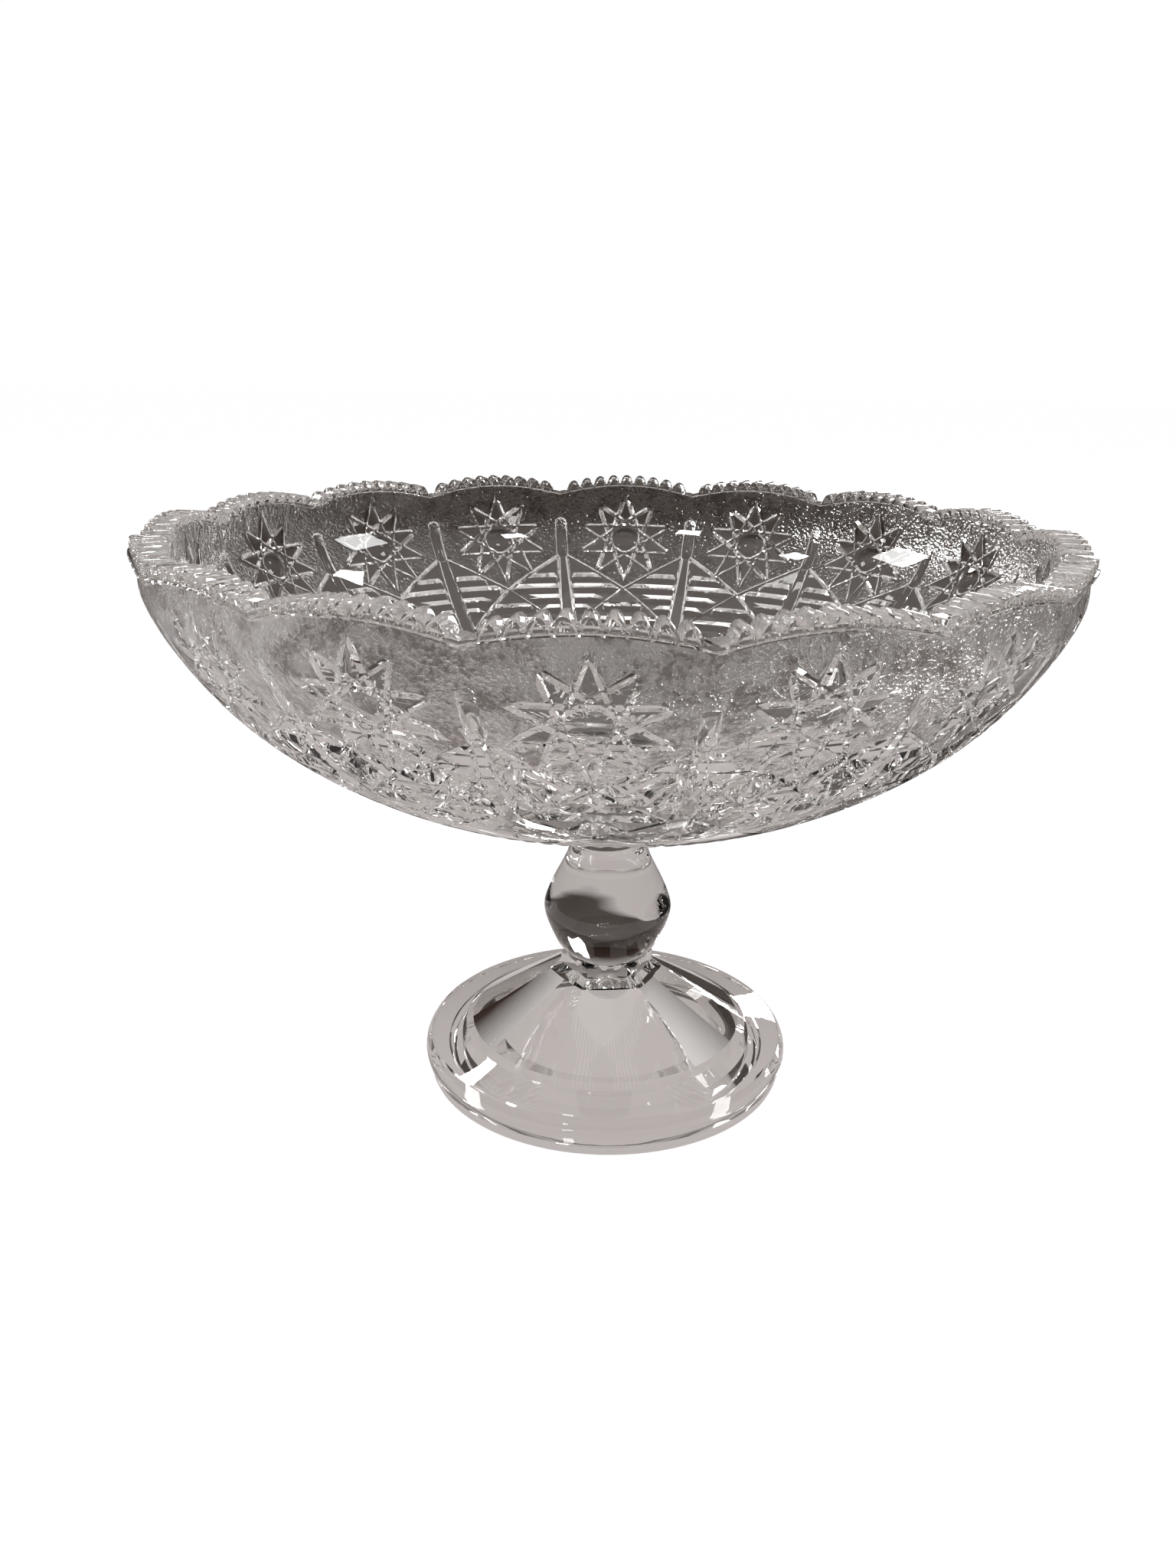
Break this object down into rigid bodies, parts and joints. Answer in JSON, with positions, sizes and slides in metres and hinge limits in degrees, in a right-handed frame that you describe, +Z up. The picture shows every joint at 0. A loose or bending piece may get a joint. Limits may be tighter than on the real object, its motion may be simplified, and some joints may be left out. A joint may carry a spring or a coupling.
{
  "type": "footed punch bowl",
  "caption": "Footed pressed-glass punch bowl with a scalloped, toothed rim and star-patterned panels, bonded to a knopped pedestal on a round foot.",
  "frame": {"origin": "centre of the foot's resting plane", "axes": "+Z up along the stem and the bowl's axis; -Y through the middle of a scallop"},
  "size_m": [0.3048, 0.3048, 0.2005],
  "materials": {
    "clear_glass": "polished pressed soda-lime glass, with a finely stippled ground on the bowl's panels",
    "clear_adhesive": "clear light-cured acrylic adhesive"
  },
  "bodies": {
    "root": {"bowl": "clear_glass", "neck_bond": "clear_adhesive", "pedestal": "clear_glass"}
  },
  "joints": []
}
